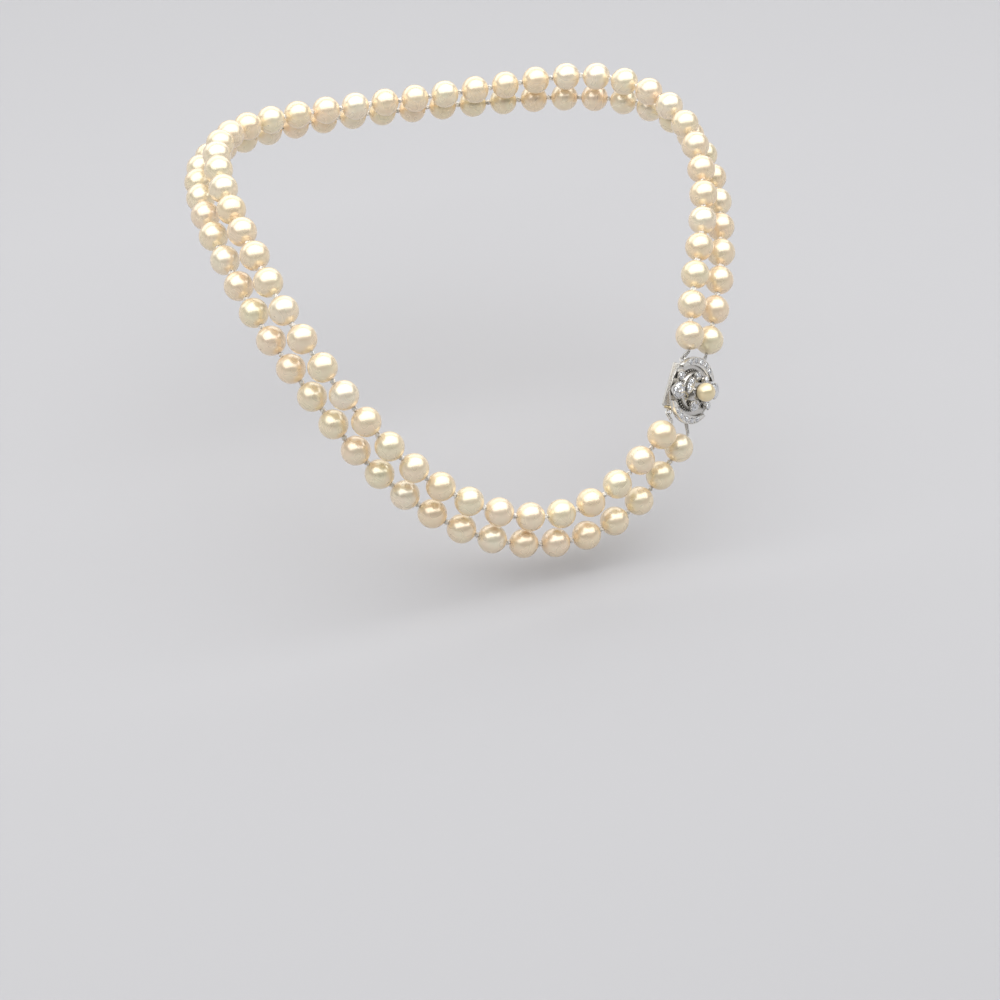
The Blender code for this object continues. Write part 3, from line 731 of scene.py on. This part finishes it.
bpy.ops.mesh.primitive_uv_sphere_add(segments=48, ring_count=24, radius=SMALL_PEARL_R)
small_pearl = bpy.context.object
pick(small_pearl, "FACE", lambda face: face.normal.z < -0.97)
bpy.ops.transform.resize(value=(1.0, 1.0, 0.985), center_override=(0.0, 0.0, 0.0))
close_edit()
bpy.ops.object.shade_smooth()
give_tone(small_pearl, 0.5)
set_down(small_pearl, CLASP @ Matrix.Translation((0.0, 0.0, SMALL_PEARL_Z)))
GOLDEN_NACRE = nacre(
    "golden_nacre", [(0.92, 0.80, 0.50), (0.95, 0.84, 0.56), (0.94, 0.84, 0.58)], 0.22
)
fit_piece(small_pearl, "centre_pearl_golden", GOLDEN_NACRE, "necklace", "nacre",
          "centre_pearl")

# ======================================================================================
# Rings. Two soldered to each end of the clasp, one for each row, of round white-gold wire.
# ======================================================================================
RING_R, RING_WIRE = 0.70 * MM, 0.20 * MM
RING_X = {"box": -6.35 * MM, "tongue": 6.85 * MM}
ROW_SIDE = {"inner": -3.9 * MM, "outer": 3.9 * MM}

for end, body in (("box", "necklace"), ("tongue", "tongue")):
    for row, side in ROW_SIDE.items():
        bpy.ops.mesh.primitive_torus_add(
            major_radius=RING_R, minor_radius=RING_WIRE, major_segments=40, minor_segments=14,
            location=(RING_X[end], side, 0.0), rotation=(math.pi / 2, 0.0, 0.0),
        )
        ring = bpy.context.object
        keep_place()
        bpy.ops.object.shade_smooth()
        set_down(ring, CLASP)
        fit_piece(ring, f"{end}_ring_{row}_wire", WHITE_GOLD, body, "white_gold",
                  f"{end}_ring_{row}")

# ======================================================================================
# Pearls. Cultured, 7 mm, drilled through and slightly off round. Each row's pearls lie
# evenly along its own line from the clasp's upper end, round the neck and to its tongue.
# ======================================================================================
PEARL_R = 3.5 * MM
PITCH = 8.0 * MM
HOLE_AT = 3.45 * MM
ROWS = {
    "inner": [
        (47.5, -81.5, -18.0), (54.5, -68.5, -10.0), (59.5, -55.5, -3.5), (61.5, -40.5, 2.0),
        (58.0, -24.5, 5.0), (48.0, -11.0, 5.0), (28.0, -3.0, 2.0), (0.0, 0.0, 0.0),
        (-26.0, -1.5, 0.5), (-44.5, -9.0, 2.5), (-53.0, -19.5, 4.5), (-57.5, -35.0, 5.5),
        (-58.5, -50.5, 3.0), (-57.0, -66.0, -1.5), (-54.0, -80.0, -9.0), (-48.0, -91.5, -19.0),
        (-40.0, -99.5, -30.5), (-30.0, -104.5, -42.0), (-17.5, -108.0, -51.5),
        (-2.0, -110.0, -57.5), (15.0, -108.0, -56.5),
    ],
    "outer": [
        (56.0, -77.5, -20.5), (61.5, -64.0, -13.5), (65.0, -49.5, -7.5), (65.0, -34.5, -3.0),
        (60.0, -20.0, -1.5), (48.0, -7.5, -2.5), (27.0, 1.0, -4.5), (0.0, 5.5, -5.5),
        (-27.0, 4.0, -5.0), (-45.0, -3.0, -4.0), (-57.0, -16.5, -2.0), (-62.0, -34.0, -1.5),
        (-63.0, -50.5, -3.5), (-61.0, -65.0, -9.0), (-57.0, -79.0, -17.0),
        (-50.5, -89.5, -27.0), (-42.5, -97.5, -38.5), (-32.5, -102.5, -49.5),
        (-19.5, -107.5, -59.0), (-5.0, -110.0, -64.5), (11.0, -110.0, -65.5),
        (26.5, -106.0, -60.5),
    ],
}
ROW_START = {"inner": 12.4 * MM, "outer": 13.6 * MM}


def pearl_places(points):
    """Centres of the pearls along a natural spline through the points, and their ways."""
    knots = np.array(points)
    steps = np.linalg.norm(np.diff(knots, axis=0), axis=1)
    count = len(knots)
    system = np.eye(count)
    right = np.zeros((count, 3))
    for i in range(1, count - 1):
        system[i, i - 1:i + 2] = steps[i - 1], 2 * (steps[i - 1] + steps[i]), steps[i]
        right[i] = 6 * (
            (knots[i + 1] - knots[i]) / steps[i] - (knots[i] - knots[i - 1]) / steps[i - 1]
        )
    bend = np.linalg.solve(system, right)
    starts = np.concatenate([[0.0], np.cumsum(steps)])
    line = []
    for value in np.linspace(0.0, starts[-1], 1600):
        i = min(int(np.searchsorted(starts, value, side="right")) - 1, count - 2)
        done, left = value - starts[i], starts[i + 1] - value
        line.append(
            (bend[i] * left**3 + bend[i + 1] * done**3) / (6 * steps[i])
            + (knots[i] / steps[i] - bend[i] * steps[i] / 6) * left
            + (knots[i + 1] / steps[i] - bend[i + 1] * steps[i] / 6) * done
        )
    line = np.array(line)
    run = np.concatenate([[0.0], np.cumsum(np.linalg.norm(np.diff(line, axis=0), axis=1))])
    stations = np.linspace(0.0, run[-1], int(round(run[-1] / PITCH)) + 1)
    centres = np.stack([np.interp(stations, run, line[:, k]) for k in range(3)], axis=1)
    ways = np.gradient(centres, axis=0)
    return centres, ways / np.linalg.norm(ways, axis=1)[:, None]


placed = {}
for row, points in ROWS.items():
    start = CLASP @ Vector((-ROW_START[row], ROW_SIDE[row], 0.3 * MM))
    end = CLASP @ Vector((ROW_START[row], ROW_SIDE[row], -0.3 * MM))
    placed[row] = pearl_places([start, *[Vector(point) * MM for point in points], end])

bpy.ops.mesh.primitive_uv_sphere_add(segments=32, ring_count=28, radius=PEARL_R)
drilled = bpy.context.object
pick(drilled, "VERT", lambda vert: abs(vert.co.z) > PEARL_R * 0.9999)
bpy.ops.mesh.delete(type="VERT")
close_edit()
pick(drilled, "EDGE", lambda edge: all(
    abs(drilled.data.vertices[i].co.z) > PEARL_R * 0.99 for i in edge.vertices
) and spread(drilled, edge, 2) < 1e-7)
bpy.ops.mesh.bridge_edge_loops()
bpy.ops.mesh.select_all(action="SELECT")
bpy.ops.mesh.normals_make_consistent(inside=False)
close_edit()
only(drilled)
bpy.ops.object.shade_smooth_by_angle(angle=math.radians(50))

STRETCHES = [
    ("right_side", 0, 9, None), ("right_back", 9, 18, None), ("left_back", 18, 27, None),
    ("left_side", 27, 36, None), ("front", 36, -2, "front"), ("tongue_end", -2, None, "tongue"),
]
CREAM_NACRE = nacre("cream_nacre", [
    (0.99, 0.84, 0.61), (1.0, 0.84, 0.67), (0.97, 0.88, 0.66), (0.99, 0.89, 0.74),
], 0.28)
chance = Random(11)


def body_of_stretch(row, kind):
    """The frame's body that this stretch of the row moves with."""
    return {None: "necklace", "front": f"{row}_front", "tongue": "tongue"}[kind]


def threaded(centre, way):
    """A frame at the centre with its Z along the way the pearl is threaded."""
    turn = Vector(way).to_track_quat("Z", "Y").to_matrix().to_4x4()
    return Matrix.Translation(centre) @ turn


for row, (centres, ways) in placed.items():
    for stretch, first, stop, kind in STRETCHES:
        pearls = []
        for i in range(len(centres))[first:stop]:
            pearl = copy_of(drilled)
            give_tone(pearl, chance.random())
            off_round = Matrix.Diagonal((
                1 - 0.008 * chance.random(), 1 - 0.008 * chance.random(), 1.0, 1.0
            ))
            spin = Matrix.Rotation(chance.random() * 2 * math.pi, 4, "Z")
            pearl.matrix_world = threaded(centres[i], ways[i]) @ spin @ off_round
            pearls.append(pearl)
        stretch_piece = join(pearls)
        only(stretch_piece)
        keep_place()
        fit_piece(stretch_piece, f"{row}_{stretch}_pearls", CREAM_NACRE,
                  body_of_stretch(row, kind), "nacre", f"{row}_row_{stretch}")
bpy.data.objects.remove(drilled, do_unlink=True)

# ======================================================================================
# Silk. One twisted thread through each row, tied in a knot between every two pearls. It
# is held all along by the pearls, so it has no free length.
# ======================================================================================
THREAD_R = 0.25 * MM
KNOT_R = 0.53 * MM
KNOT_DEPTH = 0.58
KNOT_POINTS = 20
# a stretch's last knot, which may turn with a joint, is tied tighter
TURNING_KNOT = 0.86


def silk_material():
    made, tree, shader = node_material("knotted_silk")
    place = tree.nodes.new("ShaderNodeTexCoord")
    twist = tree.nodes.new("ShaderNodeTexWave")
    twist.bands_direction = "DIAGONAL"
    twist.inputs["Scale"].default_value = 2600.0
    twist.inputs["Distortion"].default_value = 2.0
    tree.links.new(place.outputs["Object"], twist.inputs["Vector"])
    shade = tree.nodes.new("ShaderNodeValToRGB")
    shade.color_ramp.elements[0].color = (1.0, 0.94, 0.83, 1.0)
    shade.color_ramp.elements[1].color = (1.0, 0.98, 0.94, 1.0)
    tree.links.new(twist.outputs["Fac"], shade.inputs["Fac"])
    tree.links.new(shade.outputs["Color"], shader.inputs["Base Color"])
    bump = tree.nodes.new("ShaderNodeBump")
    bump.inputs["Strength"].default_value = 0.3
    bump.inputs["Distance"].default_value = 0.008 * MM
    tree.links.new(twist.outputs["Fac"], bump.inputs["Height"])
    tree.links.new(bump.outputs["Normal"], shader.inputs["Normal"])
    shader.inputs["Roughness"].default_value = 0.62
    shader.inputs["Subsurface Weight"].default_value = 0.6
    shader.inputs["Subsurface Radius"].default_value = (1.0, 0.9, 0.8)
    shader.inputs["Subsurface Scale"].default_value = 0.6 * MM
    shader.inputs["Sheen Weight"].default_value = 0.5
    shader.inputs["Sheen Roughness"].default_value = 0.4
    return made


SILK = silk_material()


def thread_through(points, radius, sides_level=1, closed=False):
    """A round thread through the points, as a mesh."""
    curve = bpy.data.curves.new("thread", "CURVE")
    curve.dimensions = "3D"
    curve.bevel_depth = radius
    curve.bevel_resolution = sides_level
    curve.use_fill_caps = not closed
    line = curve.splines.new("POLY")
    line.points.add(len(points) - 1)
    for place, point in zip(line.points, points):
        place.co = (*point, 1.0)
    line.use_cyclic_u = closed
    thread = bpy.data.objects.new("thread", curve)
    bpy.context.scene.collection.objects.link(thread)
    only(thread)
    bpy.ops.object.convert(target="MESH")
    thread = bpy.context.object
    bpy.ops.object.shade_smooth()
    return thread


loops = []
for i in range(KNOT_POINTS):
    t = 2 * math.pi * i / KNOT_POINTS
    loops.append((
        KNOT_R * (math.sin(t) + 2 * math.sin(2 * t)) / 3,
        KNOT_R * (math.cos(t) - 2 * math.cos(2 * t)) / 3,
        -KNOT_R * KNOT_DEPTH * math.sin(3 * t),
    ))
knot = thread_through(loops, THREAD_R, closed=True)

for row, (centres, ways) in placed.items():
    for stretch, first, stop, kind in STRETCHES:
        numbers = list(range(len(centres))[first:stop])
        points = []
        parts = []
        for i in numbers:
            points += [centres[i] - ways[i] * HOLE_AT * 0.9, centres[i] + ways[i] * HOLE_AT]
            if i + 1 < len(centres):
                before = centres[i] + ways[i] * HOLE_AT
                after = centres[i + 1] - ways[i + 1] * HOLE_AT
                tied = copy_of(knot)
                spin = Matrix.Rotation(chance.random() * 2 * math.pi, 4, "Z")
                tight = TURNING_KNOT if i == numbers[-1] else 1.0
                tied.matrix_world = (
                    threaded((before + after) / 2, after - before) @ spin
                    @ Matrix.Scale(tight, 4)
                )
                parts.append(tied)
                points.append(after)
        parts.insert(0, thread_through(points, THREAD_R * 0.95))
        silk = join(parts)
        only(silk)
        keep_place()
        fit_piece(silk, f"{row}_{stretch}_silk", SILK, body_of_stretch(row, kind), None)
bpy.data.objects.remove(knot, do_unlink=True)

# ======================================================================================
# Wire loops. Fine silver wire wound into a spring and threaded over the silk, so that a
# row's end can turn in its ring without wearing through.
# ======================================================================================
LOOP_R = 0.26 * MM
COIL_WIRE = 0.065 * MM
COIL_PITCH = 0.15 * MM
BOW_POINTS = 7
SILVER = metal("wound_silver_wire", (0.97, 0.96, 0.94), (0.42, 0.38, 0.33), 0.20, 0.12 * MM)


def coil_round(points):
    """A spring of fine wire whose middle follows the points."""
    knots = np.array(points)
    for _ in range(3):
        middle = (knots[:-1] + knots[1:]) / 2
        soft = np.empty((len(knots) + len(middle), 3))
        soft[0::2], soft[1::2] = knots, middle
        inner = soft[1:-1]
        soft[1:-1] = (soft[:-2] + 2 * inner + soft[2:]) / 4
        knots = soft
    run = np.concatenate([[0.0], np.cumsum(np.linalg.norm(np.diff(knots, axis=0), axis=1))])
    turns = run[-1] / COIL_PITCH
    spring = []
    side = np.array(across)
    for value in np.linspace(0.0, 1.0, int(turns * 9)):
        at = value * run[-1]
        here = np.array([np.interp(at, run, knots[:, k]) for k in range(3)])
        ahead = np.array([np.interp(at + 0.02 * MM, run, knots[:, k]) for k in range(3)])
        behind = np.array([np.interp(at - 0.02 * MM, run, knots[:, k]) for k in range(3)])
        way = (ahead - behind) / np.linalg.norm(ahead - behind)
        side = side - way * side.dot(way)
        side /= np.linalg.norm(side)
        other = np.cross(way, side)
        turn = 2 * math.pi * turns * value
        out = side * math.cos(turn) + other * math.sin(turn)
        spring.append(here + (LOOP_R - COIL_WIRE) * out)
    return spring


for end, way, body in (("box", -1, "necklace"), ("tongue", 1, "tongue")):
    for row, side in ROW_SIDE.items():
        centres, ways = placed[row]
        centre, threading = (centres[0], ways[0]) if way < 0 else (centres[-1], ways[-1])
        hold = Vector((RING_X[end] + way * RING_R, side, 0.0))
        into = CLASP.inverted()
        hole = into @ Vector(centre + threading * way * (HOLE_AT + 0.15 * MM))
        near = into @ Vector(centre + threading * way * (HOLE_AT + 0.55 * MM))
        beside = Vector((0.0, LOOP_R + 0.02 * MM, 0.0))
        apart = RING_WIRE + LOOP_R + 0.05 * MM
        bow = []
        for i in range(BOW_POINTS):
            turn = math.pi * i / (BOW_POINTS - 1)
            swing = Vector((-way * apart * math.sin(turn), apart * math.cos(turn), 0.0))
            bow.append(hold + swing)
        route = [hole + beside, near + beside, *bow, near - beside, hole - beside]
        loop = thread_through(coil_round([CLASP @ point for point in route]), COIL_WIRE, 0)
        fit_piece(loop, f"{end}_wire_loop_{row}_wound", SILVER, body, "silver_wire",
                  f"{end}_wire_loop_{row}")
bpy.data.objects.remove(grain, do_unlink=True)

# ======================================================================================
# Floor. Plain and pale, low enough that the opened rows hang clear of it. Far off it
# rises to a low rim, and keeps its tone there to the eye and in reflections.
# ======================================================================================
FLOOR_AT = cad_bounds[0].z - 5.6 * MM
FLOOR_REACH, RIM_REACH, RIM_RISE = 3.0, 6.5, 1.0
GLOW_FROM, GLOW_TO = 0.36, 1.3


def pale_floor():
    made, tree, shader = node_material("pale_floor")
    shader.inputs["Base Color"].default_value = (0.485, 0.485, 0.50, 1.0)
    shader.inputs["Roughness"].default_value = 0.9
    place = tree.nodes.new("ShaderNodeTexCoord")
    reach = tree.nodes.new("ShaderNodeVectorMath")
    reach.operation = "LENGTH"
    tree.links.new(place.outputs["Object"], reach.inputs[0])
    far = tree.nodes.new("ShaderNodeMapRange")
    far.interpolation_type = "SMOOTHSTEP"
    far.inputs["From Min"].default_value = GLOW_FROM
    far.inputs["From Max"].default_value = GLOW_TO
    tree.links.new(reach.outputs["Value"], far.inputs["Value"])
    rays = tree.nodes.new("ShaderNodeLightPath")
    seen = rays.outputs["Is Camera Ray"]
    for ray in ("Is Glossy Ray", "Is Transmission Ray"):
        either = tree.nodes.new("ShaderNodeMath")
        either.operation = "MAXIMUM"
        tree.links.new(seen, either.inputs[0])
        tree.links.new(rays.outputs[ray], either.inputs[1])
        seen = either.outputs[0]
    share = tree.nodes.new("ShaderNodeMath")
    share.operation = "MULTIPLY"
    tree.links.new(seen, share.inputs[0])
    tree.links.new(far.outputs["Result"], share.inputs[1])
    glow = tree.nodes.new("ShaderNodeEmission")
    glow.inputs["Color"].default_value = (0.60, 0.60, 0.615, 1.0)
    blend = tree.nodes.new("ShaderNodeMixShader")
    tree.links.new(share.outputs[0], blend.inputs[0])
    tree.links.new(shader.outputs[0], blend.inputs[1])
    tree.links.new(glow.outputs[0], blend.inputs[2])
    tree.links.new(blend.outputs[0], tree.nodes["Material Output"].inputs["Surface"])
    return made


PALE_FLOOR = pale_floor()
bpy.ops.mesh.primitive_circle_add(
    vertices=96, radius=FLOOR_REACH, fill_type="NGON", location=(0.0, 0.0, FLOOR_AT)
)
floor = bpy.context.object
floor.name = "floor"
bpy.ops.mesh.primitive_cone_add(
    vertices=96, radius1=FLOOR_REACH, radius2=RIM_REACH, depth=RIM_RISE,
    end_fill_type="NOTHING", location=(0.0, 0.0, FLOOR_AT + RIM_RISE / 2),
)
rim = bpy.context.object
rim.name = "floor_rim"
for ground in (floor, rim):
    only(ground)
    keep_place()
    ground.data.materials.append(PALE_FLOOR)

# ======================================================================================
# Light. One broad soft box overhead and one behind, above the horizon, in a plain room
# that is pale at the horizon and straight above, and quieter between.
# ======================================================================================
PALE_ROOM = (0.45, 0.45, 0.46, 1.0)
QUIET_ROOM = (0.17, 0.165, 0.16, 1.0)


def soft_box(name, place, size, watts):
    """A rectangular lamp that looks at the necklace."""
    lamp = bpy.data.lights.new(name, "AREA")
    lamp.shape = "RECTANGLE"
    lamp.size, lamp.size_y = size
    lamp.energy = watts
    holder = bpy.data.objects.new(name, lamp)
    bpy.context.scene.collection.objects.link(holder)
    holder.location = place
    aim = Vector((0.0, -0.06, -0.03)) - Vector(place)
    holder.rotation_euler = aim.to_track_quat("-Z", "Y").to_euler()


soft_box("overhead", (0.0, -0.14, 0.56), (1.90, 0.86), 9.8)
soft_box("behind", (0.0, 0.66, 0.40), (1.90, 0.54), 4.4)

world = bpy.data.worlds.new("studio")
bpy.context.scene.world = world
world.use_nodes = True
sky = world.node_tree
look = sky.nodes.new("ShaderNodeTexCoord")
split = sky.nodes.new("ShaderNodeSeparateXYZ")
sky.links.new(look.outputs["Generated"], split.inputs["Vector"])
ramp = sky.nodes.new("ShaderNodeValToRGB")
ramp.color_ramp.elements[0].position = 0.0
ramp.color_ramp.elements[0].color = PALE_ROOM
ramp.color_ramp.elements[1].position = 0.12
ramp.color_ramp.elements[1].color = QUIET_ROOM
ramp.color_ramp.elements.new(0.75).color = QUIET_ROOM
ramp.color_ramp.elements.new(1.0).color = PALE_ROOM
sky.links.new(split.outputs["Z"], ramp.inputs["Fac"])
sky.links.new(ramp.outputs["Color"], sky.nodes["Background"].inputs["Color"])

# ======================================================================================
# Camera. In front, above and to the wearer's right, with a long lens.
# ======================================================================================
lens = bpy.data.cameras.new("camera")
lens.lens = 89.137
lens.sensor_width = 36.0
camera = bpy.data.objects.new("camera", lens)
bpy.context.scene.collection.objects.link(camera)
camera.location = (-0.17224, -0.55866, 0.27302)
camera.rotation_euler = (0.97389, -0.01872, -0.33195)
bpy.context.scene.camera = camera
bpy.context.scene.view_settings.view_transform = "Standard"

bpy.context.view_layer.update()
